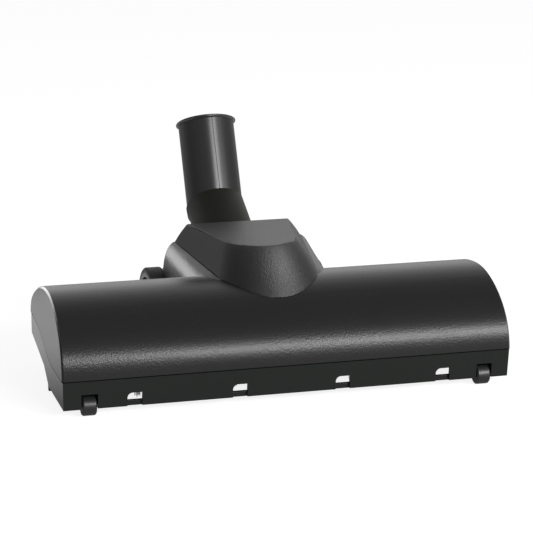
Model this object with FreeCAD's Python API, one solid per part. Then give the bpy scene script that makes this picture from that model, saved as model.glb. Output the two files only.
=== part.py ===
import FreeCAD, Part
import math
import os

V = FreeCAD.Vector

# A vacuum turbo brush: an air turbine under the hump drives a bristle roll through a belt.
# Millimetres. X runs along the roll, Y from the front edge to the neck, Z up from the floor.
# Every form is laid out with y = 0 at the front edge, and is moved at the end so that the
# origin lies on the floor under the middle of the whole brush.

# Long casing
body_width = 270.0
front_reach = 52.0
rear_reach = 61.0
crest_height = 63.0
front_turn_radius = 34.0
rear_turn_radius = 15.0
seam_height = 22.0
skirt_bottom = 4.4
skirt_draft = 1.7
end_draft = 0.3
top_draft = 0.8
rear_turn_height = 35.0
sole_rear = 53.0
heel_rise = 9.2
heel_run = 14.5
rear_lip_inset = 1.0
rear_lip_width = 3.0
rear_lip_height = 2.0
rear_bottom = 111.5
rear_bottom_height = 22.5
shell_wall = 2.2
skirt_step = 0.5
end_edge_bevel = 1.2
seam_rise_start = 38.6
seam_rise = ((17.8, 4.0), (35.7, 9.6), (54.9, 12.6))
rear_split_height = 36.0

# Hump over the turbine
facet_rise = 11.0
facet_front = 51.5
facet_nose_radius = 23.0
facet_half_width = 32.8
hump_rear = 125.4
rim_front = 24.6
rim_nose_radius = 32.0
rim_half_width = 41.0
rim_front_height = 56.7
rim_rear_height = 71.0
flank_bulge = 0.06
shoulder_front = 32.0
shoulder_nose_radius = 32.6
shoulder_top_half_width = 41.4
shoulder_top_slope = 0.1
shoulder_foot_front = 28.0
shoulder_foot_radius = 44.0
shoulder_half_width = 49.0
shoulder_foot_height = 46.0
cover_wall = 2.2

# Neck: a drum that rocks in the housing, an elbow and a swivelling tube
pivot_y = 137.6
pivot_z = 55.6
drum_radius = 22.5
drum_half_width = 27.6
drum_wall = 2.2
drum_clearance = 0.6
drum_room_lead = 12.0
pivot_pin_radius = 5.0
pivot_pin_length = 5.5
pivot_pin_room = 0.6
pin_running = 0.06
elbow_radius = 18.8
elbow_wall = 2.3
elbow_lean = 62.0
elbow_length = 53.8
joint_lean = 44.0
collar_radius = 19.0
collar_height = 5.5
joint_gap = 0.3
spigot_radius = 15.9
spigot_wall = 1.9
spigot_depth = 5.0
spigot_lip = 0.7
spigot_lip_height = 1.2
tube_lean = 24.8
tube_length = 56.6
tube_bore = 32.0
tube_wall = 2.35
socket_depth = 40.0
flange_radius = 19.8
flange_thickness = 1.9
flange_bevel = 0.6
drum_port_half_width = 18.0
drum_port_low = 44.0
drum_port_high = 66.0

# Cheeks beside the drum and the rear wheels
cheek_inner = 28.4
cheek_outer = 45.6
cheek_rear = 163.0
cheek_wall = 3.4
cheek_root = 4.0
cheek_heel = 6.0
cheek_roof = ((45.6, 38.0), (43.6, 46.0), (40.6, 54.0), (37.0, 61.0), (28.4, 67.0))
cheek_back = ((134.0, 68.5), (143.5, 61.5), (150.5, 51.0), (157.0, 38.0))
housing_floor_height = 18.0
cradle_height = 32.0
cradle_setback = 1.5
cradle_edge_radius = 3.0
rear_wheel_radius = 26.0
rear_wheel_y = 137.5
rear_wheel_width = 10.7
rear_wheel_gap = 0.6
wheel_arch_gap = 1.0
tyre_thickness = 3.0
tyre_bevel = 1.0
rear_axle_radius = 3.0
rear_axle_grip = 9.0
axle_head_radius = 4.6
axle_head_height = 1.2

# Front wheels
front_wheel_radius = 6.0
front_wheel_y = 6.8
front_wheel_inset = 1.9
front_wheel_width = 8.4
front_wheel_bevel = 0.8
front_recess_width = 9.6
front_recess_top = 13.7
front_axle_radius = 1.3
front_axle_grip = 3.0

# Air notches in the lower front edge
notch_positions = (31.0, 93.0)
notch_width = 8.7
notch_top = 12.9
notch_corner = 3.0

# Brush chamber, sole plate and roll
chamber_rear = 51.0
chamber_wall = 2.0
chamber_end_inset = 24.6
chamber_top_gap = 0.6
sole_plate_front = 4.0
sole_plate_rear = 49.0
sole_plate_margin = 0.2
sole_plate_lift = 0.3
sole_plate_height = 3.0
sole_plate_gap = 0.2
slot_front = 6.6
slot_rear = 42.6
slot_end_cover = 3.9
roll_y = 26.0
roll_z = 23.6
roll_core_radius = 12.5
roll_end_gap = 1.0
bristle_tip_radius = 22.2
tuft_radius = 1.9
tuft_root = 2.0
tuft_pitch = 6.6
tuft_end_gap = 4.2
tuft_belt_gap = 1.0
tuft_rows = 4
row_twist = 120.0
roll_axle_radius = 2.5
roll_axle_running = 0.05
bush_radius = 7.0
bush_inner_reach = 1.5
bush_outer_reach = 5.5
bush_flange = 2.5
bush_flange_width = 2.0

# Turbine and belt drive
turbine_y = 81.0
turbine_z = 49.0
turbine_tip_radius = 24.0
turbine_tip_gap = 1.2
turbine_half_width = 14.0
turbine_side_gap = 1.5
turbine_hub_radius = 6.0
blade_count = 9
blade_thickness = 1.3
blade_root = 0.6
blade_sweep = 46.0
web_thickness = 1.6
web_radius = 15.0
turbine_casing_wall = 2.0
turbine_shaft_radius = 2.0
bearing_outer_radius = 6.5
bearing_width = 5.0
bearing_boss_wall = 2.0
pulley_gap = 0.5
belt_width = 5.6
belt_thickness = 1.5
belt_gap = 0.3
drive_pitch_radius = 6.4
belt_ratio = 2.5
pulley_flange = 1.6
pulley_flange_width = 1.2
belt_slot_gap = 1.5
inlet_half_width = 13.0
inlet_bottom = 26.0
inlet_top = 38.0
outlet_bottom = 42.0
outlet_top = 64.0
casing_foot_half_length = 10.0

# Fasteners
screw_head_radius = 3.2
screw_head_height = 2.0
screw_shank_radius = 1.5
screw_length = 14.0
screw_recess = 2.0
screw_boss_wall = 2.2
screw_boss_top = 27.0
front_screw = (96.0, 72.0)
rear_screw_x = 56.0
rear_screw_gap = 23.5
plate_screw_inset = 0.8
plate_screw_places = (12.0, 39.0)
plate_screw_radius = 1.2
plate_screw_head_radius = 2.2
plate_screw_head_height = 1.2
plate_screw_length = 8.0
plate_boss_radius = 2.6
plate_boss_height = 9.0

# Sizes that follow from the ones above
body_half = body_width / 2
chamber_half_length = body_half - chamber_end_inset
slot_half_length = chamber_half_length - slot_end_cover
tuft_half_length = slot_half_length - tuft_end_gap
front_wheel_x = chamber_half_length + chamber_wall + front_wheel_inset + front_recess_width / 2
plate_screw_x = chamber_half_length - plate_screw_inset
sole_plate_half_length = plate_screw_x + plate_screw_head_radius + sole_plate_margin
body_depth = front_reach + rear_reach
facet_height = rim_rear_height + facet_rise
rear_screw_y = rear_wheel_y - rear_wheel_radius - rear_screw_gap
screw_places = (front_screw, (rear_screw_x, rear_screw_y))
heel_y = sole_rear + heel_run
heel_z = skirt_bottom + heel_rise
rear_wheel_inner = cheek_outer + rear_wheel_gap
rear_wheel_outer = rear_wheel_inner + rear_wheel_width
tube_radius = tube_bore / 2 + tube_wall
elbow_dir = V(0, math.sin(math.radians(elbow_lean)), math.cos(math.radians(elbow_lean)))
joint_dir = V(0, math.sin(math.radians(joint_lean)), math.cos(math.radians(joint_lean)))
tube_dir = V(0, math.sin(math.radians(tube_lean)), math.cos(math.radians(tube_lean)))
pivot = V(0, pivot_y, pivot_z)
joint_centre = pivot + elbow_dir * elbow_length
mouth_centre = joint_centre + tube_dir * tube_length
whole_depth = mouth_centre.y + flange_radius * tube_dir.z - flange_bevel * tube_dir.y
roll_pitch_radius = drive_pitch_radius * belt_ratio
casing_radius = turbine_tip_radius + turbine_tip_gap
casing_half_width = turbine_half_width + turbine_side_gap
bearing_inner = casing_half_width + turbine_casing_wall
pulley_half_width = belt_width / 2 + pulley_flange_width
belt_x = bearing_inner + bearing_width + pulley_gap + pulley_half_width
passage_radius = spigot_radius - spigot_wall
socket_radius = tube_bore / 2
core_half_length = chamber_half_length - bush_inner_reach - roll_end_gap
big = 400.0
overrun = 10.0


def along_x(face, x_low, x_high):
    """A face in the plane x = 0 drawn out along X."""
    moved = face.copy()
    moved.translate(V(x_low, 0, 0))
    return moved.extrude(V(x_high - x_low, 0, 0))


def block(x0, x1, y0, y1, z0, z1):
    return Part.makeBox(x1 - x0, y1 - y0, z1 - z0, V(x0, y0, z0))


def rod_x(radius, x0, x1, y, z):
    return Part.makeCylinder(radius, x1 - x0, V(x0, y, z), V(1, 0, 0))


def ring_x(outer, inner, x0, x1, y, z):
    return rod_x(outer, x0, x1, y, z).cut(rod_x(inner, x0, x1, y, z))


def mirrored(shape):
    """The same form on the other side of the middle plane."""
    return shape.mirror(V(0, 0, 0), V(1, 0, 0))


def both_sides(shape):
    return shape.fuse(mirrored(shape))


def write(node, shape):
    """Saves a node with the origin on the floor, under the middle of the whole brush."""
    placed = shape.copy()
    placed.translate(V(0, -whole_depth / 2, 0))
    placed.exportStep("parts/" + node + ".step")


def quarter_outline(crest, end, turn_radius):
    """From a flat crest round to an upright end: a wide arc that runs on into a tighter one."""
    side = 1 if end.y > crest.y else -1
    run, rise = abs(end.y - crest.y), crest.z - end.z
    wide = (run * run + rise * rise - 2 * run * turn_radius) / (2 * (rise - turn_radius))
    wide_centre = V(0, crest.y, crest.z - wide)
    tight_centre = V(0, end.y - side * turn_radius, end.z)
    meeting = (tight_centre - wide_centre).normalize()
    meet = tight_centre + meeting * turn_radius
    wide_middle = wide_centre + (meeting + V(0, 0, 1)).normalize() * wide
    tight_middle = tight_centre + (meeting + V(0, side, 0)).normalize() * turn_radius
    return [Part.Arc(crest, wide_middle, meet).toShape(), Part.Arc(meet, tight_middle, end).toShape()]


def casing_profile(inset, plumb):
    """The end outline of the long casing: a rounded back over a flat sole with a rising heel.

    The plumb outline drops straight from both ends instead, as the upper casing's moulding does.
    """
    low = skirt_bottom + inset
    crest = V(0, front_reach, crest_height - inset)
    front_end = V(0, inset, seam_height)
    rear_end = V(0, body_depth - inset, rear_turn_height)
    arcs = quarter_outline(crest, front_end, front_turn_radius - inset)
    arcs += quarter_outline(crest, rear_end, rear_turn_radius - inset)
    if plumb:
        corners = [rear_end, V(0, rear_end.y, low), V(0, inset, low), front_end]
    else:
        corners = [
            rear_end,
            V(0, rear_bottom - inset * 0.7, rear_bottom_height + inset),
            V(0, heel_y - inset * 0.4, heel_z + inset),
            V(0, sole_rear - inset * 0.3, low),
            V(0, skirt_draft + inset, low),
            front_end,
        ]
    lines = [Part.makeLine(a, b) for a, b in zip(corners, corners[1:])]
    return Part.Wire(Part.__sortEdges__(arcs + lines))


def casing_solid(inset, plumb=False):
    """The closed outer form of the long casing, drawn in on every side by inset."""
    half = body_half - inset
    length = along_x(Part.Face(casing_profile(inset, plumb)), -body_half, body_half)
    slope = top_draft / (crest_height - seam_height)
    above = crest_height + overrun
    foot = 0 if plumb else end_draft
    ends = [
        (half - foot, skirt_bottom),
        (half, seam_height),
        (half - slope * (above - seam_height), above),
    ]
    outline = [V(x, 0, z) for x, z in ends] + [V(-x, 0, z) for x, z in reversed(ends)]
    front_view = Part.Face(Part.makePolygon(outline + outline[:1]))
    return length.common(front_view.extrude(V(0, body_depth, 0)))


def above_seam():
    """Everything over the line where the upper and lower casings meet."""
    rise = [V(0, seam_rise_start, seam_height)]
    rise += [V(0, seam_rise_start + run, seam_height + up) for run, up in seam_rise]
    rise.append(V(0, body_depth, rear_split_height))
    curve = Part.BSplineCurve()
    curve.interpolate(rise)
    rear = V(0, cheek_rear + overrun, rear_split_height)
    corners = [rear, V(0, rear.y, big), V(0, -overrun, big), V(0, -overrun, seam_height), rise[0]]
    lines = [Part.makeLine(rise[-1], rear)]
    lines += [Part.makeLine(a, b) for a, b in zip(corners, corners[1:])]
    wire = Part.Wire(Part.__sortEdges__([curve.toShape()] + lines))
    return along_x(Part.Face(wire), -body_half - overrun, body_half + overrun)


def hump_outline(form, height_at, inset):
    """A round nose, flaring straight sides and a flat rear, closed, on the plane z = height_at(y)."""
    front, nose_radius, rear_half_width = form
    radius = nose_radius - inset
    centre_y = front + nose_radius
    corner_x = rear_half_width - inset
    run = hump_rear - centre_y
    angle = math.atan2(corner_x, run) + math.acos(radius / math.hypot(corner_x, run))
    touch_x, touch_y = radius * math.sin(angle), centre_y + radius * math.cos(angle)
    nose = V(0, centre_y - radius, height_at(centre_y - radius))
    right, left = [V(x, touch_y, height_at(touch_y)) for x in (touch_x, -touch_x)]
    rear_right, rear_left = [V(x, hump_rear, height_at(hump_rear)) for x in (corner_x, -corner_x)]
    edges = [Part.Arc(left, nose, right).toShape(), Part.makeLine(right, rear_right)]
    edges += [Part.makeLine(rear_right, rear_left), Part.makeLine(rear_left, left)]
    return Part.Wire(edges)


facet_form = (facet_front, facet_nose_radius, facet_half_width)
rim_form = (rim_front, rim_nose_radius, rim_half_width)
shoulder_top_form = (shoulder_front, shoulder_nose_radius, shoulder_top_half_width)
shoulder_foot_form = (shoulder_foot_front, shoulder_foot_radius, shoulder_half_width)


def rim_height(y):
    """The lower edge of the turbine cover rises evenly from the front to the rear."""
    share = (y - rim_front) / (hump_rear - rim_front)
    return rim_front_height + (rim_rear_height - rim_front_height) * share


def shoulder_top_height(y):
    return rim_rear_height - shoulder_top_slope * (hump_rear - y)


def between(upper, lower, share):
    return tuple(a + (b - a) * share for a, b in zip(upper, lower))


def cover_solid(inset):
    """The turbine cover's form: a flat facet on flanks that swell out to the sloping rim."""
    top = facet_height - inset
    wires = [
        hump_outline(facet_form, lambda y: top, inset),
        hump_outline(
            between(facet_form, rim_form, 0.5 + flank_bulge), lambda y: (top + rim_height(y)) / 2, inset
        ),
        hump_outline(rim_form, rim_height, inset),
    ]
    return Part.makeLoft(wires, True, False)


def shoulder_solid(inset):
    """The swelling of the upper casing that carries the cover's rim, a quarter ellipse in section."""
    foot = shoulder_foot_height
    wires = []
    for share in (0.0, 0.5, 0.8, 1.0):
        form = between(shoulder_top_form, shoulder_foot_form, math.sqrt(1 - share * share))
        wires.append(
            hump_outline(form, lambda y, s=share: foot + (shoulder_top_height(y) - foot) * s, inset)
        )
    return Part.makeLoft(wires, True, False)


def cheek_section():
    """The cheek's rounded section across the brush, drawn out along Y."""
    points = [V(x, 0, z) for x, z in cheek_roof]
    curve = Part.BSplineCurve()
    curve.interpolate(points)
    corners = [points[-1], V(points[-1].x, 0, 0), V(points[0].x, 0, 0), points[0]]
    lines = [Part.makeLine(a, b) for a, b in zip(corners, corners[1:])]
    face = Part.Face(Part.Wire(Part.__sortEdges__([curve.toShape()] + lines)))
    return face.extrude(V(0, 2 * body_depth, 0))


def cheek_solid():
    """One side wall of the neck housing, rounded over the drum's pin and down to its rear end."""
    top_front = V(0, hump_rear, rim_rear_height)
    rear_end = V(0, cheek_rear, rear_wheel_radius)
    side = Part.BSplineCurve()
    side.interpolate([top_front] + [V(0, y, z) for y, z in cheek_back] + [rear_end])
    corners = [
        rear_end,
        V(0, cheek_rear - cheek_heel, housing_floor_height),
        V(0, rear_bottom - cheek_root, housing_floor_height),
        V(0, rear_bottom - cheek_root, shoulder_foot_height),
        top_front,
    ]
    lines = [Part.makeLine(a, b) for a, b in zip(corners, corners[1:])]
    face = Part.Face(Part.Wire(Part.__sortEdges__([side.toShape()] + lines)))
    return along_x(face, cheek_inner, cheek_outer).common(cheek_section())


def drum_space():
    """The room in which the drum rocks, with its running clearance."""
    half = drum_half_width + drum_clearance
    return rod_x(drum_radius + drum_clearance, -half, half, pivot_y, pivot_z)


def pin_holes():
    reach = cheek_inner + pivot_pin_length + pivot_pin_room
    return rod_x(pivot_pin_radius + pin_running, -reach, reach, pivot_y, pivot_z)


def neck_housing():
    """Cheeks and the cradle that joins them under the drum, as one closed form."""
    cheeks = both_sides(cheek_solid())
    cradle = block(-cheek_inner, cheek_inner, rear_bottom - cheek_root, cheek_rear - cradle_setback,
                   housing_floor_height, cradle_height)
    cradle = cradle.cut(rod_x(cradle_edge_radius, -big, big, cheek_rear, housing_floor_height))
    return cheeks.fuse(cradle)


def wheel_arch(wall):
    """The room round one rear wheel beside the neck housing, grown by a wall."""
    radius = rear_wheel_radius + wheel_arch_gap + wall
    return rod_x(radius, cheek_outer - wall, rear_wheel_outer + 1, rear_wheel_y, rear_wheel_radius)


def ahead_of_rear_wall(solid, wall):
    """The part of a hump form that lies in front of its rear wall."""
    return solid.common(block(-big, big, 0, hump_rear - wall, 0, big))


def cheek_hollow():
    """The hollow inside one cheek, open towards the casing, that leaves an even wall."""
    w = cheek_wall
    front = body_depth - 2 * shell_wall
    return block(cheek_inner + w + 1.5, cheek_outer - w, front, pivot_y - pivot_pin_radius - w,
                 housing_floor_height + w, shoulder_foot_height)


def top_shell():
    """Upper casing: the long curved shell with the shoulder that carries the cover and neck."""
    outer = casing_solid(0, True)
    end_edges = [
        e for e in outer.Edges
        if e.BoundBox.XLength < 2 and e.BoundBox.YLength + e.BoundBox.ZLength > rear_turn_radius
        and e.CenterOfMass.z > seam_height + 4
    ]
    outer = outer.makeChamfer(end_edge_bevel, end_edges)
    shoulder = shoulder_solid(0)
    outer = outer.fuse(shoulder)
    outer = outer.fuse(neck_housing())
    hump_hollow = shoulder_solid(cover_wall).fuse(cover_solid(cover_wall))
    inner = casing_solid(shell_wall).fuse(ahead_of_rear_wall(hump_hollow, cover_wall))
    shell = outer.cut(inner).fuse(both_sides(shoulder.common(wheel_arch(cover_wall))))
    shell = shell.cut(both_sides(wheel_arch(0)))
    shell = shell.cut(both_sides(cheek_hollow()))
    shell = shell.cut(drum_space()).cut(pin_holes())
    shell = shell.cut(block(-cheek_inner, cheek_inner, body_depth - drum_room_lead, big, rear_split_height - 1, big))
    shell = shell.common(above_seam())
    posts = top_bosses()
    return shell.fuse(posts + [mirrored(post) for post in posts])


def turbine_cover():
    """The hump: a thin matte cover with a flat top that drops over the turbine."""
    hollow = ahead_of_rear_wall(cover_solid(cover_wall), cover_wall)
    cover = cover_solid(0).cut(hollow).cut(casing_solid(0)).cut(shoulder_solid(0))
    return cover.cut(drum_space())


def cylinder(radius, centre, direction, start, end):
    """A round bar about a line through centre, between two distances along direction."""
    return Part.makeCylinder(radius, end - start, centre + direction * start, direction)


def floor_height(y):
    """Underside of the rising heel of the lower casing at a depth y."""
    share = (y - heel_y) / (rear_bottom - heel_y)
    return heel_z + (rear_bottom_height - heel_z) * share


def notch(x):
    """One air notch: open below, with its near upper corner rounded."""
    low = x - notch_width / 2
    cut = block(low, low + notch_width, -1, shell_wall + skirt_draft + 0.6, 0, notch_top)
    corner = [
        e for e in cut.Edges
        if abs(e.CenterOfMass.x - low) < 0.01 and abs(e.CenterOfMass.z - notch_top) < 0.01
    ]
    return cut.makeFillet(notch_corner, corner)


def front_recess_box(grow):
    """The room round one front wheel, grown outwards by a wall."""
    half = front_recess_width / 2 + grow
    deep = front_wheel_y + front_wheel_radius + 0.8 + grow
    return block(front_wheel_x - half, front_wheel_x + half, -1, deep, 0, front_recess_top + grow)


def screw_floor(y):
    return floor_height(y) + screw_recess


def base_bosses():
    """Posts on the lower casing that the casing screws pass through."""
    posts = []
    for x, y in screw_places:
        post = Part.makeCylinder(screw_head_radius + screw_boss_wall, screw_boss_top, V(x, y, 0))
        posts.append(post.common(casing_solid(skirt_step)))
    return posts


def base_screw_holes():
    holes = []
    for x, y in screw_places:
        holes.append(Part.makeCylinder(screw_shank_radius, big, V(x, y, 0)))
        holes.append(Part.makeCylinder(screw_head_radius + 0.3, screw_floor(y) + screw_head_height, V(x, y, 0)))
    return holes


def chamber_walls():
    """Rear and end walls of the brush chamber, with the nozzle, the belt slot and the bush seats."""
    low = skirt_bottom
    rear = block(-body_half, body_half, chamber_rear, chamber_rear + chamber_wall, low, crest_height)
    nozzle = block(-inlet_half_width, inlet_half_width, 0, big, inlet_bottom, inlet_top)
    rear = rear.cut(nozzle).cut(belt_room())
    end_low = skirt_bottom + sole_plate_lift + sole_plate_height + sole_plate_gap
    end = block(chamber_half_length, chamber_half_length + chamber_wall, 0, chamber_rear, end_low,
                crest_height)
    end = end.cut(rod_x(bush_radius, 0, big, roll_y, roll_z))
    for y in plate_screw_places:
        post = Part.makeCylinder(plate_boss_radius, plate_boss_height, V(plate_screw_x, y, end_low))
        end = end.fuse(post)
    walls = rear.fuse(both_sides(end))
    return walls.common(casing_solid(shell_wall + chamber_top_gap).fuse(casing_solid(skirt_step).cut(above_seam())))


def rear_lip():
    """The low scraping lip along the rear edge of the sole."""
    half = body_half - rear_lip_inset
    return block(-half, half, sole_rear, sole_rear + rear_lip_width, rear_lip_height, skirt_bottom + shell_wall)


def cradle_hollow():
    """The space under the drum's cradle, which leaves an even wall round the drum."""
    room = block(-cheek_inner, cheek_inner, rear_bottom, cheek_rear - 4,
                 housing_floor_height + shell_wall, rear_split_height + 1)
    wall = drum_radius + drum_clearance + shell_wall
    return room.cut(rod_x(wall, -big, big, pivot_y, pivot_z))


def base_shell():
    """Lower casing: skirt with notches, rising heel, chamber walls, wheel recesses and cradle."""
    shell = casing_solid(skirt_step).cut(casing_solid(shell_wall))
    housing = neck_housing().cut(casing_solid(shell_wall)).cut(both_sides(cheek_hollow()))
    shell = shell.fuse(housing.cut(cradle_hollow())).cut(above_seam())
    opening = sole_plate_half_length + sole_plate_gap
    shell = shell.cut(
        block(-opening, opening, sole_plate_front - sole_plate_gap, sole_plate_rear + sole_plate_gap, 0,
              skirt_bottom + sole_plate_lift + sole_plate_height + sole_plate_gap)
    )
    extras = [chamber_walls(), rear_lip()]
    for post in base_bosses():
        extras += [post, mirrored(post)]
    around = front_recess_box(chamber_wall).common(casing_solid(skirt_step))
    extras += [around, mirrored(around)]
    hub = rod_x(rear_axle_radius + cheek_wall, cheek_outer - rear_axle_grip - 2, cheek_outer, rear_wheel_y,
                rear_wheel_radius)
    extras += [hub, mirrored(hub)]
    shell = shell.fuse(extras)
    cuts = [drum_space(), both_sides(wheel_arch(0))]
    for sign in (-1, 1):
        for place in notch_positions:
            cuts.append(notch(sign * place))
    for cut in [front_recess_box(0), front_axle_rod(front_axle_radius), rear_axle_rod()] + base_screw_holes():
        cuts += [cut, mirrored(cut)]
    for y in plate_screw_places:
        hole = Part.makeCylinder(plate_screw_radius, plate_screw_length, V(plate_screw_x, y, skirt_bottom))
        cuts += [hole, mirrored(hole)]
    return shell.cut(cuts)


def top_bosses():
    posts = []
    for x, y in screw_places:
        post = Part.makeCylinder(screw_shank_radius + screw_boss_wall, crest_height, V(x, y, screw_boss_top))
        hole = Part.makeCylinder(screw_shank_radius, screw_floor(y) + screw_length, V(x, y, 0))
        posts.append(post.common(casing_solid(skirt_step)).cut(hole))
    return posts


def casing_screws():
    """Pan-head screws that hold the two casings together, driven from below."""
    screws = []
    for x, y in screw_places:
        foot = V(x, y, screw_floor(y))
        screw = Part.makeCylinder(screw_head_radius, screw_head_height, foot)
        screw = screw.fuse(Part.makeCylinder(screw_shank_radius, screw_length, foot))
        drive = cross_drive(foot, screw_head_radius)
        screws += [screw.cut(drive), mirrored(screw.cut(drive))]
    return Part.makeCompound(screws)


def cross_drive(foot, radius):
    """The crossed recess in a screw's head."""
    long = radius * 0.6
    arm = block(foot.x - long, foot.x + long, foot.y - 0.4, foot.y + 0.4, foot.z - 1, foot.z + 0.9)
    other = block(foot.x - 0.4, foot.x + 0.4, foot.y - long, foot.y + long, foot.z - 1, foot.z + 0.9)
    return arm.fuse(other)


def plate_screws():
    """Small screws that hold the sole plate to the chamber's end walls."""
    screws = []
    for y in plate_screw_places:
        foot = V(plate_screw_x, y, skirt_bottom + sole_plate_lift)
        screw = Part.makeCylinder(plate_screw_head_radius, plate_screw_head_height, foot)
        screw = screw.fuse(Part.makeCylinder(plate_screw_radius, plate_screw_length - sole_plate_lift, foot))
        screw = screw.cut(cross_drive(foot, plate_screw_head_radius))
        screws += [screw, mirrored(screw)]
    return Part.makeCompound(screws)


def sole_plate():
    """The frame round the mouth of the brush chamber, whose front rail shows in the notches."""
    low = skirt_bottom + sole_plate_lift
    half = sole_plate_half_length
    plate = block(-half, half, sole_plate_front, sole_plate_rear, low, low + sole_plate_height)
    slot = block(-slot_half_length, slot_half_length, slot_front, slot_rear, 0, big)
    upright = [e for e in slot.Edges if e.BoundBox.ZLength > 1]
    plate = plate.cut(slot.makeFillet(3.0, upright)).common(casing_solid(sole_plate_lift))
    for y in plate_screw_places:
        for x in (-plate_screw_x, plate_screw_x):
            plate = plate.cut(Part.makeCylinder(plate_screw_radius, big, V(x, y, 0)))
            head = Part.makeCylinder(plate_screw_head_radius, low + plate_screw_head_height, V(x, y, 0))
            plate = plate.cut(head)
    return plate


def turbine_casing():
    """The drum round the turbine, with its inlet nozzle, outlet, bearing bosses and foot."""
    wall = turbine_casing_wall
    outer = rod_x(casing_radius + wall, -bearing_inner, bearing_inner, turbine_y, turbine_z)
    foot = block(-bearing_inner, bearing_inner, turbine_y - casing_foot_half_length,
                 turbine_y + casing_foot_half_length, 0, turbine_z)
    nozzle = block(-inlet_half_width - wall, inlet_half_width + wall, chamber_rear + chamber_wall,
                   turbine_y - casing_radius * 0.6, inlet_bottom - wall, inlet_top + wall)
    outer = outer.fuse([foot.common(casing_solid(shell_wall)), nozzle])
    boss_radius = bearing_outer_radius + bearing_boss_wall
    outer = outer.fuse(
        rod_x(boss_radius, -bearing_inner - bearing_width, bearing_inner + bearing_width, turbine_y, turbine_z)
    )
    cuts = [
        rod_x(casing_radius, -casing_half_width, casing_half_width, turbine_y, turbine_z),
        block(-inlet_half_width, inlet_half_width, 0, turbine_y - casing_radius * 0.4, inlet_bottom, inlet_top),
        block(-inlet_half_width, inlet_half_width, turbine_y + 5, big, outlet_bottom, outlet_top),
        rod_x(bearing_outer_radius, -big, big, turbine_y, turbine_z),
    ]
    return outer.cut(cuts)


def bearing(side):
    """A sealed ball bearing as one plain ring."""
    high = bearing_inner + bearing_width
    ring = ring_x(bearing_outer_radius, turbine_shaft_radius, bearing_inner, high, turbine_y, turbine_z)
    return ring if side > 0 else mirrored(ring)


def turbine_shaft():
    end = belt_x + pulley_half_width
    return rod_x(turbine_shaft_radius - roll_axle_running, -bearing_inner - bearing_width, end, turbine_y,
                 turbine_z)


def blade():
    """One turbine blade, curved back from the hub to the tip."""
    hub = turbine_hub_radius - blade_root
    radii = (hub, (hub + turbine_tip_radius) / 2, turbine_tip_radius)
    sides = []
    for side in (-1, 1):
        points = []
        for r in radii:
            share = (r - hub) / (turbine_tip_radius - hub)
            angle = math.radians(blade_sweep) * share * share + side * blade_thickness / 2 / r
            points.append(V(0, turbine_y + r * math.cos(angle), turbine_z + r * math.sin(angle)))
        sides.append((Part.Arc(*points).toShape(), points[0], points[-1]))
    (first, a0, a1), (second, b0, b1) = sides
    wire = Part.Wire(Part.__sortEdges__([first, second, Part.makeLine(a0, b0), Part.makeLine(a1, b1)]))
    return along_x(Part.Face(wire), -turbine_half_width, turbine_half_width)


def impeller():
    """The turbine wheel: curved blades on a hub, stiffened by a middle web."""
    hub = rod_x(turbine_hub_radius, -turbine_half_width, turbine_half_width, turbine_y, turbine_z)
    web = rod_x(web_radius, -web_thickness / 2, web_thickness / 2, turbine_y, turbine_z)
    blades = []
    for i in range(blade_count):
        one = blade()
        one.rotate(V(0, turbine_y, turbine_z), V(1, 0, 0), 360.0 * i / blade_count)
        blades.append(one)
    wheel = hub.fuse([web] + blades)
    tip = rod_x(turbine_tip_radius, -big, big, turbine_y, turbine_z)
    bore = rod_x(turbine_shaft_radius - roll_axle_running, -big, big, turbine_y, turbine_z)
    return wheel.common(tip).cut(bore)


def pulley(pitch, bore, y, z):
    """A flanged belt pulley with shallow grooves across its face."""
    face = pitch - belt_thickness / 2 - belt_gap
    rim = face + pulley_flange
    low = belt_x - pulley_half_width
    high = belt_x + pulley_half_width
    body = rod_x(face, low, high, y, z)
    for start in (low, high - pulley_flange_width):
        body = body.fuse(rod_x(rim, start, start + pulley_flange_width, y, z))
    return body.cut(rod_x(bore, -big, big, y, z))


def belt_loop(radius_change):
    """The belt's path round both pulleys as a face, at a distance from its pitch line."""
    dy, dz = turbine_y - roll_y, turbine_z - roll_z
    span = math.hypot(dy, dz)
    tilt = math.atan2(dz, dy)
    big_r = roll_pitch_radius + radius_change
    small_r = drive_pitch_radius + radius_change
    lean = math.acos((big_r - small_r) / span)

    def point(y, z, r, angle):
        return V(0, y + r * math.cos(angle), z + r * math.sin(angle))

    upper, lower = tilt + lean, tilt - lean
    a = point(roll_y, roll_z, big_r, upper)
    b = point(turbine_y, turbine_z, small_r, upper)
    c = point(turbine_y, turbine_z, small_r, lower)
    d = point(roll_y, roll_z, big_r, lower)
    tip = point(turbine_y, turbine_z, small_r, tilt)
    tail = point(roll_y, roll_z, big_r, tilt + math.pi)
    edges = [Part.makeLine(a, b), Part.Arc(b, tip, c).toShape(), Part.makeLine(c, d)]
    edges.append(Part.Arc(d, tail, a).toShape())
    return Part.Face(Part.Wire(edges))


def drive_belt():
    low, high = belt_x - belt_width / 2, belt_x + belt_width / 2
    outer = along_x(belt_loop(belt_thickness / 2), low, high)
    return outer.cut(along_x(belt_loop(-belt_thickness / 2), low, high))


def belt_room():
    """Clear way for the belt through the chamber's rear wall."""
    half = pulley_half_width + 0.6
    return along_x(belt_loop(belt_thickness / 2 + belt_slot_gap), belt_x - half, belt_x + half)


def brush_core():
    """The roll's body, necked where its pulley sits and bored for the axle."""
    core = rod_x(roll_core_radius, -core_half_length, core_half_length, roll_y, roll_z)
    low, high = belt_x - pulley_half_width, belt_x + pulley_half_width
    core = core.cut(ring_x(roll_core_radius + 1, roll_core_radius - 1.5, low, high, roll_y, roll_z))
    return core.cut(rod_x(roll_axle_radius, -big, big, roll_y, roll_z))


def tuft_angle(row, x):
    """The rows wind away from the middle in mirrored spirals that sweep dirt inwards."""
    return 360.0 * row / tuft_rows + row_twist * abs(x) / tuft_half_length


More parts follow.
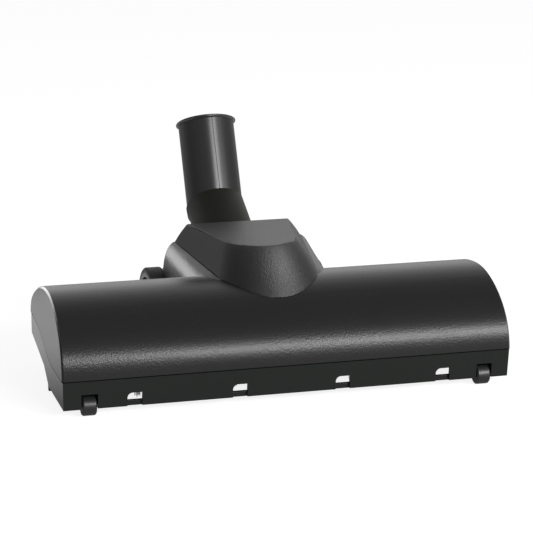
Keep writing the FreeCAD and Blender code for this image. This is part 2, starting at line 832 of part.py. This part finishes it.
def bristle_tufts():
    """Six-sided tufts standing out of the roll in winding rows, clear of the belt."""
    count = int(tuft_half_length / tuft_pitch)
    clear = pulley_half_width + tuft_radius + tuft_belt_gap
    tufts = []
    for step in range(-count, count + 1):
        x = step * tuft_pitch
        if abs(x - belt_x) < clear:
            continue
        corners = [
            V(x + tuft_radius * math.cos(math.radians(60 * k)), roll_y + tuft_radius * math.sin(math.radians(60 * k)),
              roll_z + roll_core_radius - tuft_root)
            for k in range(6)
        ]
        tuft = Part.Face(Part.makePolygon(corners + corners[:1]))
        tuft = tuft.extrude(V(0, 0, bristle_tip_radius - roll_core_radius + tuft_root))
        for row in range(tuft_rows):
            one = tuft.copy()
            one.rotate(V(0, roll_y, roll_z), V(1, 0, 0), tuft_angle(row, x))
            tufts.append(one)
    return Part.makeCompound(tufts)


def roll_axle():
    reach = chamber_half_length + bush_outer_reach
    return rod_x(roll_axle_radius, -reach, reach, roll_y, roll_z)


def roll_bush(side):
    """A flanged bush in the chamber's end wall, in which the axle turns."""
    low = chamber_half_length - bush_inner_reach
    high = chamber_half_length + bush_outer_reach + 1
    bush = rod_x(bush_radius, low, high, roll_y, roll_z)
    seat = chamber_half_length + chamber_wall
    bush = bush.fuse(rod_x(bush_radius + bush_flange, seat, seat + bush_flange_width, roll_y, roll_z))
    bush = bush.cut(rod_x(roll_axle_radius + roll_axle_running, low - 1, high - 1, roll_y, roll_z))
    return bush if side > 0 else mirrored(bush)


def bevelled_rod(radius, start, end, bevel, y, z):
    """A short rod along X with its two rims bevelled."""
    rod = rod_x(radius, start, end, y, z)
    return rod.makeChamfer(bevel, [e for e in rod.Edges if e.BoundBox.XLength < 0.01])


def front_wheel(side):
    """A small barrel roller in its recess at the end of the front edge."""
    half = front_wheel_width / 2
    wheel = bevelled_rod(front_wheel_radius, front_wheel_x - half, front_wheel_x + half,
                         front_wheel_bevel, front_wheel_y, front_wheel_radius)
    wheel = wheel.cut(front_axle_rod(front_axle_radius + pin_running))
    return wheel if side > 0 else mirrored(wheel)


def front_axle_rod(radius):
    half = front_recess_width / 2 + chamber_wall - 0.4
    return rod_x(radius, front_wheel_x - half, front_wheel_x + half, front_wheel_y, front_wheel_radius)


def front_axle(side):
    axle = front_axle_rod(front_axle_radius)
    return axle if side > 0 else mirrored(axle)


def rear_axle_rod():
    start = cheek_outer - rear_axle_grip
    end = rear_wheel_outer - axle_head_height - 0.8
    return rod_x(rear_axle_radius, start, end, rear_wheel_y, rear_wheel_radius)


def rear_axle(side):
    """A stub axle pressed into the cheek, with a head that keeps the wheel on."""
    end = rear_wheel_outer - axle_head_height - 0.8
    axle = rear_axle_rod()
    axle = axle.fuse(rod_x(axle_head_radius, end, end + axle_head_height, rear_wheel_y, rear_wheel_radius))
    return axle if side > 0 else mirrored(axle)


def rear_wheel(side):
    """The rear wheel's hub and rim, dished on the outer face between its spokes."""
    rim = rear_wheel_radius - tyre_thickness
    bore = rear_axle_radius + pin_running
    wheel = ring_x(rim, bore, rear_wheel_inner, rear_wheel_outer, rear_wheel_y, rear_wheel_radius)
    hub_radius = axle_head_radius + 2.4
    dish_floor = rear_wheel_outer - rear_wheel_width * 0.55
    dish = ring_x(rim - 3.0, hub_radius, dish_floor, rear_wheel_outer + 1, rear_wheel_y, rear_wheel_radius)
    for i in range(6):
        spoke = block(dish_floor - 1, rear_wheel_outer - 1.2, rear_wheel_y - 1.1, rear_wheel_y + 1.1,
                      rear_wheel_radius, rear_wheel_radius + rim)
        spoke.rotate(V(0, rear_wheel_y, rear_wheel_radius), V(1, 0, 0), 60 * i)
        dish = dish.cut(spoke)
    wheel = wheel.cut(dish)
    seat = rear_wheel_outer - axle_head_height - 1.1
    room = rod_x(axle_head_radius + 0.4, seat, rear_wheel_outer + 1, rear_wheel_y, rear_wheel_radius)
    wheel = wheel.cut(room)
    return wheel if side > 0 else mirrored(wheel)


def rear_tyre(side):
    """The soft tread stretched round the rear wheel."""
    tyre = bevelled_rod(rear_wheel_radius, rear_wheel_inner, rear_wheel_outer, tyre_bevel, rear_wheel_y,
                        rear_wheel_radius)
    tyre = tyre.cut(rod_x(rear_wheel_radius - tyre_thickness, 0, big, rear_wheel_y, rear_wheel_radius))
    return tyre if side > 0 else mirrored(tyre)


def above_joint(shift):
    """The half of space over the slanted plane of the swivel joint."""
    side = 4 * elbow_radius
    centre = joint_centre + joint_dir * shift
    return Part.makeCylinder(side, side, centre, joint_dir)


def elbow():
    """The rocking drum with its pins and port, and the elbow up to the swivel joint."""
    drum = rod_x(drum_radius, -drum_half_width, drum_half_width, pivot_y, pivot_z)
    reach = cheek_inner + pivot_pin_length
    pins = rod_x(pivot_pin_radius, -reach, reach, pivot_y, pivot_z)
    arm = cylinder(elbow_radius, pivot, elbow_dir, 0, elbow_length + elbow_radius)
    arm = arm.cut(above_joint(-joint_gap / 2))
    collar = cylinder(collar_radius, joint_centre, joint_dir, -collar_height - joint_gap / 2, -joint_gap / 2)
    body = drum.fuse([pins, arm, collar])
    hollow = drum_half_width - drum_wall
    room = spigot_radius + joint_gap
    cuts = [
        rod_x(drum_radius - drum_wall, -hollow, hollow, pivot_y, pivot_z),
        cylinder(elbow_radius - elbow_wall, pivot, elbow_dir, 0, elbow_length - 1.5),
        cylinder(room, joint_centre, joint_dir, -spigot_depth - joint_gap, 1),
        cylinder(room + spigot_lip, joint_centre, joint_dir, -spigot_depth - joint_gap,
                 -spigot_depth + spigot_lip_height + joint_gap),
        block(-drum_port_half_width, drum_port_half_width, 0, pivot_y - drum_radius / 2, drum_port_low,
              drum_port_high),
    ]
    return body.cut(cuts)


def swivel_tube():
    """The tube that turns in the elbow's slanted collar and takes the vacuum's wand."""
    tube = cylinder(tube_radius, joint_centre, tube_dir, -tube_radius, tube_length)
    flange = cylinder(flange_radius, joint_centre, tube_dir, tube_length - flange_thickness, tube_length)
    rims = [e for e in flange.Edges if abs(e.Length - 2 * math.pi * flange_radius) < 0.01]
    tube = tube.fuse(flange.makeChamfer(flange_bevel, rims))
    tube = tube.common(above_joint(joint_gap / 2))
    spigot = cylinder(spigot_radius, joint_centre, joint_dir, -spigot_depth, 2)
    lip = cylinder(spigot_radius + spigot_lip, joint_centre, joint_dir, -spigot_depth,
                   -spigot_depth + spigot_lip_height)
    tube = tube.fuse([spigot, lip])
    cuts = [
        cylinder(socket_radius, joint_centre, tube_dir, tube_length - socket_depth, tube_length + 1),
        cylinder(passage_radius, joint_centre, tube_dir, 0, tube_length),
        cylinder(passage_radius, joint_centre, joint_dir, -spigot_depth - 1, 3),
    ]
    return tube.cut(cuts)


def left_right(make, name):
    """Both nodes of a mirrored pair; left is at minus X."""
    return {name + "_left": lambda: make(-1), name + "_right": lambda: make(1)}


NODES = {
    "top_shell": top_shell,
    "turbine_cover": turbine_cover,
    "base_shell": base_shell,
    "sole_plate": sole_plate,
    "casing_screws": casing_screws,
    "plate_screws": plate_screws,
    "turbine_casing": turbine_casing,
    "impeller": impeller,
    "turbine_shaft": turbine_shaft,
    "drive_pulley": lambda: pulley(drive_pitch_radius, turbine_shaft_radius - roll_axle_running, turbine_y, turbine_z),
    "drive_belt": drive_belt,
    "roll_pulley": lambda: pulley(roll_pitch_radius, roll_core_radius - 1.5, roll_y, roll_z),
    "brush_core": brush_core,
    "bristle_tufts": bristle_tufts,
    "roll_axle": roll_axle,
    "elbow": elbow,
    "swivel_tube": swivel_tube,
}
for make, name in (
    (bearing, "turbine_bearing"),
    (roll_bush, "roll_bush"),
    (front_wheel, "front_wheel"),
    (front_axle, "front_axle"),
    (rear_wheel, "rear_wheel"),
    (rear_tyre, "rear_tyre"),
    (rear_axle, "rear_axle"),
):
    NODES.update(left_right(make, name))

os.makedirs("parts", exist_ok=True)
for node, make in NODES.items():
    write(node, make())
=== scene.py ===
import math
import random
import bmesh
import bpy
from mathutils import Matrix, Vector
from mathutils.bvhtree import BVHTree


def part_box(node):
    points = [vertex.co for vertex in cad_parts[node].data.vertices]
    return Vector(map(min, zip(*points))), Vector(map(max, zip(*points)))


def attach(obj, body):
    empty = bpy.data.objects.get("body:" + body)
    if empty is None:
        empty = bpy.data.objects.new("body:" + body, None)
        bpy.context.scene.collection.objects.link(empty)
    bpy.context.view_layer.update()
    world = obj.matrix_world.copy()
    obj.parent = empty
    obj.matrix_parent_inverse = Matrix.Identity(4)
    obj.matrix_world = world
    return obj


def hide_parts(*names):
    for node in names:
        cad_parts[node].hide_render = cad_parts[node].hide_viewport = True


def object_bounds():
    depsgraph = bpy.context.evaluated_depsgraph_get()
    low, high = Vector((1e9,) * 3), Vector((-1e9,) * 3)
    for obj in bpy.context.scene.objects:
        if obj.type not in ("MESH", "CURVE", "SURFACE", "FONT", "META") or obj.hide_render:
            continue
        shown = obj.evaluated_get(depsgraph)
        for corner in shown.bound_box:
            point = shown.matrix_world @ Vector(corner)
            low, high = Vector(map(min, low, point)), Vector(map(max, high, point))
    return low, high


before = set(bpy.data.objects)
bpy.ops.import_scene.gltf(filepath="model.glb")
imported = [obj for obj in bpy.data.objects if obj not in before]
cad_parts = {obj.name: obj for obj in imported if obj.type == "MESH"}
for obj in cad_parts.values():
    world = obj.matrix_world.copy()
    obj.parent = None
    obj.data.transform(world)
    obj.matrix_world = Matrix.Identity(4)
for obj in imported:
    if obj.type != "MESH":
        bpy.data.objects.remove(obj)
cadLow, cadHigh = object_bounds()
halfDepth = (cadHigh.y - cadLow.y) / 2
print("frame loaded")


class Signal:  # one output socket, so that shader maths can be written as an expression
    def __init__(self, finish, socket):
        self.finish = finish
        self.socket = socket

    def maths(self, operation, *values):
        return self.finish.node("ShaderNodeMath", {"operation": operation}, dict(enumerate(values)))

    def __add__(self, other):
        return self.maths("ADD", self, other)

    def __sub__(self, other):
        return self.maths("SUBTRACT", self, other)

    def __rsub__(self, other):
        return self.maths("SUBTRACT", other, self)

    def __mul__(self, other):
        return self.maths("MULTIPLY", self, other)

    def __abs__(self):
        return self.maths("ABSOLUTE", self)

    __radd__ = __add__
    __rmul__ = __mul__


seamShadeAndMouldLineColour = (0.004, 0.004, 0.004, 1)  # the dark of the painted shadow along the seam between the casings, and of the tube's mould line


class Finish:  # a node tree for one surface, the floor or the world
    def __init__(self, owner):
        owner.use_nodes = True
        self.tree = owner.node_tree
        self.tree.nodes.clear()

    def node(self, kind, settings=None, inputs=None, output=0):
        made = self.tree.nodes.new(kind)
        for key, value in (settings or {}).items():
            if key == "stops":  # a ramp's places and grey levels
                ramp = made.color_ramp
                for stop in value[len(ramp.elements):]:
                    ramp.elements.new(stop[0])
                for element, (place, level) in zip(ramp.elements, value):
                    element.position = place
                    element.color = (level, level, level, 1)
            else:
                setattr(made, key, value)
        for key, value in (inputs or {}).items():
            if isinstance(value, Signal):
                self.tree.links.new(value.socket, made.inputs[key])
            else:
                made.inputs[key].default_value = value
        return Signal(self, made.outputs[output]) if made.outputs else made

    def place(self, source="Object"):
        return self.node("ShaderNodeTexCoord", output=source)

    def along(self, axis, source="Object"):
        return self.node("ShaderNodeSeparateXYZ", None, {"Vector": self.place(source)}, axis)

    def ray(self, kind):
        return self.node("ShaderNodeLightPath", output=kind)

    def noise(self, scale, detail, roughness):
        return self.node("ShaderNodeTexNoise", None,
                         {"Vector": self.place(), "Scale": scale, "Detail": detail, "Roughness": roughness})

    def shade(self, mask, dark, light):  # a colour between two, by a mask
        return self.node("ShaderNodeMix", {"data_type": "RGBA"},
                         {"Factor": mask, "A": (*dark, 1), "B": (*light, 1)}, 2)

    def ramp(self, value, *stops):
        return self.node("ShaderNodeValToRGB", {"stops": stops}, {"Fac": value})

    def line(self, away, look):  # a thin line, by the distance from its middle
        return self.ramp(away * (1 / look["width"]), *look["fade"])

    def bump(self, height, strength, distance):
        return self.node("ShaderNodeBump", None,
                         {"Height": height, "Strength": strength, "Distance": distance})

    def surface(self, shadeAndMouldLine=None, **inputs):  # the mask of the seam's painted shadow line and of the tube's dark mould line
        sockets = {key.replace("_", " "): value for key, value in inputs.items()}
        body = self.node("ShaderNodeBsdfPrincipled", None, sockets)
        if shadeAndMouldLine:
            # mixes in a dark diffuse sheet: painted shadow along the seam, the dark mould line on the tube
            shadow = self.node("ShaderNodeBsdfDiffuse", None, {"Color": seamShadeAndMouldLineColour})
            body = self.node("ShaderNodeMixShader", None, {0: shadeAndMouldLine, 1: body, 2: shadow})
        self.node("ShaderNodeOutputMaterial", None, {"Surface": body})


def newFinish(name):
    material = bpy.data.materials.new(name)
    return Finish(material), material


# Seam: a painted shadow line where the two casings meet, which follows the rim of the lower one.
# The fade is how dark the line is against the distance from its middle, in line widths.
seam = {"depth": 0.113, "margin": 0.001, "inset": 0.001, "steps": 28, "width": 0.0008,
        "fade": ((0.35, 1.0), (0.6, 0.0))}
mouldLine = {"width": 0.00048, "fade": ((0.35, 0.75), (0.6, 0.0))}


def rimCourse(look):  # distances from the front edge and the rim's height at each, along one end wall
    lower = bmesh.new()
    lower.from_mesh(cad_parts["base_shell"].data)
    tree = BVHTree.FromBMesh(lower)
    lower.free()
    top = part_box("base_shell")[1]
    span = look["depth"] - 2 * look["margin"]
    course = []
    for step in range(look["steps"]):
        run = look["margin"] + span * step / (look["steps"] - 1)
        spot = tree.ray_cast((top.x - look["inset"], cadLow.y + run, top.z), (0, 0, -1))[0]
        if spot is not None:
            course.append((run, spot.z))
    return course


seamCourse = rimCourse(seam)
seamTop = max(height for run, height in seamCourse)


# painted shadow in the joint between the two casings, along the rim of the lower one
def seamPaintedShadow(finish):
    stops = [(run / seam["depth"], height / seamTop) for run, height in seamCourse]
    rim = finish.ramp((finish.along("Y") - cadLow.y) * (1 / seam["depth"]), *stops) * seamTop
    return finish.line(abs(finish.along("Z") - rim), seam)


def mouldCrease(finish):  # the tube's two halves of the mould meet in its middle plane
    return finish.line(abs(finish.along("X")), mouldLine)


# the seam's painted shadow on both casings, and the tube's dark mould line
shadesAndMouldLines = {"satinShell": seamPaintedShadow, "skirtPlastic": seamPaintedShadow, "glossTube": mouldCrease}

# Plastics: one recipe, with the colour, gloss and grain (fineness, depth, strength) of each moulding
plastics = {
    "satinShell": {"dark": (0.014, 0.014, 0.0143), "light": (0.019, 0.019, 0.0193),
                   "roughness": (0.27, 0.31), "specular": 0.3, "grain": (900.0, 0.0002, 0.5)},
    "mattCover": {"dark": (0.009, 0.009, 0.0091), "light": (0.014, 0.014, 0.0141),
                  "roughness": (0.4, 0.46), "specular": 0.8, "grain": (1100.0, 0.0003, 0.7)},
    "skirtPlastic": {"dark": (0.004, 0.0046, 0.0042), "light": (0.006, 0.0066, 0.0062),
                     "roughness": (0.24, 0.3), "specular": 0.6, "grain": (900.0, 0.00003, 0.15),
                     "tint": (0.94, 1.0, 0.95)},
    "elbowPlastic": {"dark": (0.01, 0.01, 0.0082), "light": (0.015, 0.015, 0.0122),
                     "roughness": (0.46, 0.55), "specular": 0.4, "grain": (1300.0, 0.0002, 0.5),
                     "tint": (1.0, 1.0, 0.9)},
    "glossTube": {"dark": (0.018, 0.018, 0.0182), "light": (0.024, 0.024, 0.0242),
                  "roughness": (0.26, 0.3), "specular": 0.5, "grain": (700.0, 0.00001, 0.1)},
    "rollerPlastic": {"dark": (0.01, 0.01, 0.0101), "light": (0.016, 0.016, 0.0161),
                      "roughness": (0.36, 0.44), "specular": 0.6, "grain": (500.0, 0.00002, 0.1)},
    "wheelPlastic": {"dark": (0.03, 0.03, 0.03), "light": (0.045, 0.045, 0.045),
                     "roughness": (0.3, 0.4), "specular": 0.5, "grain": (800.0, 0.00003, 0.15)},
    "tyreRubber": {"dark": (0.02, 0.02, 0.02), "light": (0.034, 0.034, 0.033),
                   "roughness": (0.5, 0.64), "specular": 0.4, "grain": (600.0, 0.0001, 0.35)},
    "innerPlastic": {"dark": (0.13, 0.13, 0.135), "light": (0.18, 0.18, 0.185),
                     "roughness": (0.4, 0.5), "specular": 0.45, "grain": (700.0, 0.00004, 0.2)},
    "beltRubber": {"dark": (0.018, 0.018, 0.018), "light": (0.03, 0.03, 0.03),
                   "roughness": (0.55, 0.7), "specular": 0.35, "grain": (1200.0, 0.0001, 0.4)},
    "bristleNylon": {"dark": (0.03, 0.029, 0.028), "light": (0.07, 0.068, 0.065),
                     "roughness": (0.45, 0.65), "specular": 0.4, "grain": (3500.0, 0.0002, 0.8)},
}

# Unevenness shared by all plastics: the drift is broad, the grain is each plastic's own
mottle = {"driftScale": 14.0, "driftDetail": 3.0, "driftRoughness": 0.55, "driftShare": 0.6,
          "grainDetail": 2.0, "grainRoughness": 0.6, "noTint": (1.0, 1.0, 1.0)}


def plastic(name):
    look = plastics[name]
    finish, material = newFinish(name)
    fineness, depth, strength = look["grain"]
    drift = finish.noise(mottle["driftScale"], mottle["driftDetail"], mottle["driftRoughness"])
    grain = finish.noise(fineness, mottle["grainDetail"], mottle["grainRoughness"])
    share = mottle["driftShare"]
    low, high = look["roughness"]
    finish.surface(
        shadesAndMouldLines[name](finish) if name in shadesAndMouldLines else None,
        Base_Color=finish.shade(drift * share + grain * (1 - share), look["dark"], look["light"]),
        Roughness=drift * (high - low) + low,
        Specular_IOR_Level=look["specular"],
        Specular_Tint=(*look.get("tint", mottle["noTint"]), 1),
        Normal=finish.bump(grain, strength, depth),
    )
    return material


zinc = {"dark": (0.5, 0.5, 0.49), "light": (0.68, 0.68, 0.66), "roughness": (0.24, 0.4),
        "fineness": 300.0, "detail": 3.0, "noiseRoughness": 0.6, "depth": 0.00003, "strength": 0.2}


def zincSteel(look):
    finish, material = newFinish("zincSteel")
    drift = finish.noise(look["fineness"], look["detail"], look["noiseRoughness"])
    low, high = look["roughness"]
    finish.surface(
        Base_Color=finish.shade(drift, look["dark"], look["light"]),
        Metallic=1.0,
        Roughness=drift * (high - low) + low,
        Normal=finish.bump(drift, look["strength"], look["depth"]),
    )
    return material


finishes = {name: plastic(name) for name in plastics}
finishes["zincSteel"] = zincSteel(zinc)

# Which finish each moulding has, and the radius of its rounded edges
dress = {
    "top_shell": ("satinShell", 0.0005), "turbine_cover": ("mattCover", 0.0006),
    "base_shell": ("skirtPlastic", 0.0003), "sole_plate": ("skirtPlastic", 0.0003),
    "elbow": ("elbowPlastic", 0.0003), "swivel_tube": ("glossTube", 0.0003),
    "brush_core": ("wheelPlastic", 0.0003), "bristle_tufts": ("bristleNylon", 0),
    "turbine_casing": ("innerPlastic", 0), "impeller": ("innerPlastic", 0),
    "drive_pulley": ("innerPlastic", 0), "roll_pulley": ("innerPlastic", 0),
    "drive_belt": ("beltRubber", 0), "casing_screws": ("zincSteel", 0),
    "plate_screws": ("zincSteel", 0), "turbine_shaft": ("zincSteel", 0),
    "roll_axle": ("zincSteel", 0),
}
for side in ("left", "right"):
    dress["turbine_bearing_" + side] = ("zincSteel", 0)
    dress["roll_bush_" + side] = ("innerPlastic", 0)
    dress["front_wheel_" + side] = ("rollerPlastic", 0.0003)
    dress["front_axle_" + side] = ("zincSteel", 0)
    dress["rear_wheel_" + side] = ("wheelPlastic", 0.0003)
    dress["rear_tyre_" + side] = ("tyreRubber", 0.0004)
    dress["rear_axle_" + side] = ("zincSteel", 0.0002)

# The cover's short edges would clamp the whole of its rounding, so it is left unclamped
edges = {"weld": 0.00001, "segments": 3, "sharpFrom": 32, "faceWeight": 100, "unclamped": "turbine_cover"}


def dressNode(nodeName, finishName, radius):
    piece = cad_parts[nodeName]
    piece.data.materials.clear()
    piece.data.materials.append(finishes[finishName])
    weld = piece.modifiers.new("weld", "WELD")
    weld.merge_threshold = edges["weld"]
    if radius:
        bevel = piece.modifiers.new("edges", "BEVEL")
        bevel.width = radius
        bevel.segments = edges["segments"]
        bevel.use_clamp_overlap = nodeName != edges["unclamped"]
        bevel.limit_method = "ANGLE"
        bevel.angle_limit = math.radians(edges["sharpFrom"])
        bevel.harden_normals = True
    even = piece.modifiers.new("normals", "WEIGHTED_NORMAL")
    even.mode = "FACE_AREA"
    even.weight = edges["faceWeight"]
    even.keep_sharp = True


for nodeName, (finishName, radius) in dress.items():
    dressNode(nodeName, finishName, radius)
print("mouldings dressed")

# Bristles: each tuft of the roll is a bundle of loose nylon threads
bristles = {"perTuft": 15, "radius": 0.00017, "tipShare": 0.75, "bundleShare": 0.88, "flare": 1.12,
            "turnEach": 137.5, "shorterBy": (0.0001, 0.0009), "sides": 4, "seed": 5}


def tuftEnds(tufts, axis):  # the middle of each tuft's root and tip, and its radius
    merged = bmesh.new()
    merged.from_mesh(tufts.data)
    bmesh.ops.remove_doubles(merged, verts=merged.verts, dist=edges["weld"])
    reached = set()
    ends = []
    for first in merged.verts:
        if first in reached:
            continue
        reached.add(first)
        tuft = [first]
        for vertex in tuft:
            near = [edge.other_vert(vertex) for edge in vertex.link_edges]
            fresh = [other for other in near if other not in reached]
            reached.update(fresh)
            tuft.extend(fresh)
        spots = sorted((vertex.co.copy() for vertex in tuft), key=lambda spot: (spot - axis).yz.length)
        half = len(spots) // 2
        root, tip = (sum(part, Vector()) / half for part in (spots[:half], spots[half:]))
        ends.append((root, tip, (spots[0] - root).length))
    merged.free()
    return sorted(ends, key=lambda end: tuple(end[1]))


def growBristles(look):
    low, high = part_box("roll_axle")
    axis = (low + high) / 2
    chance = random.Random(look["seed"])
    threads = bmesh.new()
    for root, tip, width in tuftEnds(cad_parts["bristle_tufts"], axis):
        upright = (tip - root).to_track_quat("Z", "Y")
        for thread in range(look["perTuft"]):
            share = math.sqrt((thread + 0.5) / look["perTuft"]) * look["bundleShare"] * width
            turn = thread * math.radians(look["turnEach"])
            offset = upright @ Vector((math.cos(turn) * share, math.sin(turn) * share, 0))
            foot = root + offset
            point = tip + offset * look["flare"]
            point -= (point - foot).normalized() * chance.uniform(*look["shorterBy"])
            lean = (point - foot).to_track_quat("Z", "Y").to_matrix().to_4x4()
            bmesh.ops.create_cone(threads, cap_ends=True, segments=look["sides"], radius1=look["radius"],
                                  radius2=look["radius"] * look["tipShare"], depth=(point - foot).length,
                                  matrix=Matrix.Translation((foot + point) / 2) @ lean)
    mesh = bpy.data.meshes.new("bristle_threads")
    threads.to_mesh(mesh)
    threads.free()
    piece = bpy.data.objects.new("bristle_threads", mesh)
    bpy.context.scene.collection.objects.link(piece)
    mesh.materials.append(finishes["bristleNylon"])
    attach(piece, "roll")
    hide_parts("bristle_tufts")


growBristles(bristles)
print("bristles grown")

# Camera: fitted to the photograph in millimetres of the design frame, whose y = 0 is the front edge
cameraFit = {"turn": 15.5, "tilt": 13.25, "focal": 2000.0, "imageWidth": 533, "distance": 1157.2,
             "across": 15.33, "upward": -57.18, "seamHeight": 22.18, "sensor": 36.0}


def placeCamera(fit):
    turn, tilt = math.radians(fit["turn"]), math.radians(fit["tilt"])
    across = Vector((math.cos(turn), -math.sin(turn), 0))
    ahead = Vector((math.sin(turn) * math.cos(tilt), math.cos(turn) * math.cos(tilt), -math.sin(tilt)))
    upward = across.cross(ahead)
    spot = Vector((0, 0, fit["seamHeight"])) - ahead * fit["distance"] - across * fit["across"]
    spot -= upward * fit["upward"]
    lens = bpy.data.cameras.new("camera")
    lens.sensor_width = fit["sensor"]
    lens.lens = fit["focal"] / fit["imageWidth"] * fit["sensor"]
    camera = bpy.data.objects.new("camera", lens)
    turned = Matrix((across, upward, -ahead)).transposed().to_4x4()
    camera.matrix_world = Matrix.Translation(spot / 1000 - Vector((0, halfDepth, 0))) @ turned
    bpy.context.scene.collection.objects.link(camera)
    bpy.context.scene.camera = camera


placeCamera(cameraFit)
print("camera placed")

# Floor: white to the camera. Reflections see it in levels that change with its depth, from half a metre
# in front of the middle to half a metre behind it.
paperFloor = {"size": 14.0, "colour": (0.3, 0.3, 0.3), "bounceColour": (0.8, 0.8, 0.8), "glow": 0.86,
              "mirrored": ((0.3, 0.12), (0.42, 0.18), (0.55, 0.9), (0.68, 0.9), (0.8, 0.2))}


def layFloor(look):
    bpy.ops.mesh.primitive_plane_add(size=look["size"], location=(0, 0, 0))
    floor = bpy.context.object
    floor.name = "floor"
    finish, material = newFinish("floorPaper")
    glossy = finish.ray("Is Glossy Ray")
    mirrored = finish.ramp(finish.along("Y") + 0.5, *look["mirrored"])
    strength = (1 - glossy + glossy * mirrored) * look["glow"]
    paper = finish.node("ShaderNodeBsdfDiffuse", None, {"Color": (*look["colour"], 1)})
    glow = finish.node("ShaderNodeEmission", None, {"Color": (1, 1, 1, 1), "Strength": strength})
    bright = finish.node("ShaderNodeAddShader", None, {0: paper, 1: glow})
    plain = finish.node("ShaderNodeBsdfDiffuse", None, {"Color": (*look["bounceColour"], 1)})
    seen = finish.node("ShaderNodeMixShader", None, {0: finish.ray("Is Diffuse Ray"), 1: bright, 2: plain})
    finish.node("ShaderNodeOutputMaterial", None, {"Surface": seen})
    floor.data.materials.append(material)


# World: white to the camera and an even level to matt surfaces. Reflections see walls whose levels change
# from front to back (sky) and from left to right (sides), each over a direction from -1 to 1.
studioWorld = {"ambient": 0.34,
               "sky": ((0.5, 0.05), (0.62, 0.07), (0.79, 0.32), (0.9, 0.85), (0.96, 1.0)),
               "sides": ((0.18, 1.0), (0.27, 0.22), (0.35, 0.22), (0.42, 1.0))}


def lightWorld(look):
    world = bpy.data.worlds.new("studioWorld")
    bpy.context.scene.world = world
    finish = Finish(world)
    rearward = finish.ramp(finish.along("Y", "Generated") * 0.5 + 0.5, *look["sky"])
    sideways = finish.ramp(finish.along("X", "Generated") * 0.5 + 0.5, *look["sides"])
    camera = finish.ray("Is Camera Ray")
    glossy = finish.ray("Is Glossy Ray")
    level = glossy * (rearward * sideways) + (1 - glossy) * look["ambient"]
    level = camera + (1 - camera) * level
    background = finish.node("ShaderNodeBackground", None, {"Color": (1, 1, 1, 1), "Strength": level})
    finish.node("ShaderNodeOutputWorld", None, {"Surface": background})


# Lamps: all look at one spot, and those with an only shine on that one moulding
lampTarget = (0, 0, 0.05)
lamps = {
    "keyLamp": {"place": (0.88, -1.62, 0.785), "size": (1.7, 0.28), "power": 42.0, "only": None},
    "coverLamp": {"place": (0.75, -0.25, 1.66), "size": (0.35, 0.35), "power": 10.0,
                  "only": "turbine_cover"},
    "tubeLamp": {"place": (0.42, -1.36, 1.14), "size": (0.8, 0.5), "power": 15.0, "only": "swivel_tube"},
    "leftLamp": {"place": (-0.78, 1.84, 0.42), "size": (1.7, 1.0), "power": 25.0, "only": "top_shell"},
}


def hangLamp(name, look):
    light = bpy.data.lights.new(name, "AREA")
    light.shape = "RECTANGLE"
    light.size, light.size_y = look["size"]
    light.energy = look["power"]
    lamp = bpy.data.objects.new(name, light)
    lamp.location = look["place"]
    lamp.rotation_euler = (Vector(lampTarget) - lamp.location).to_track_quat("-Z", "Y").to_euler()
    bpy.context.scene.collection.objects.link(lamp)
    if look["only"]:
        lit = bpy.data.collections.new(name)
        lit.objects.link(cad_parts[look["only"]])
        lamp.light_linking.receiver_collection = lit


layFloor(paperFloor)
lightWorld(studioWorld)
for name, look in lamps.items():
    hangLamp(name, look)
bpy.context.scene.view_settings.view_transform = "Standard"
print("studio lit")
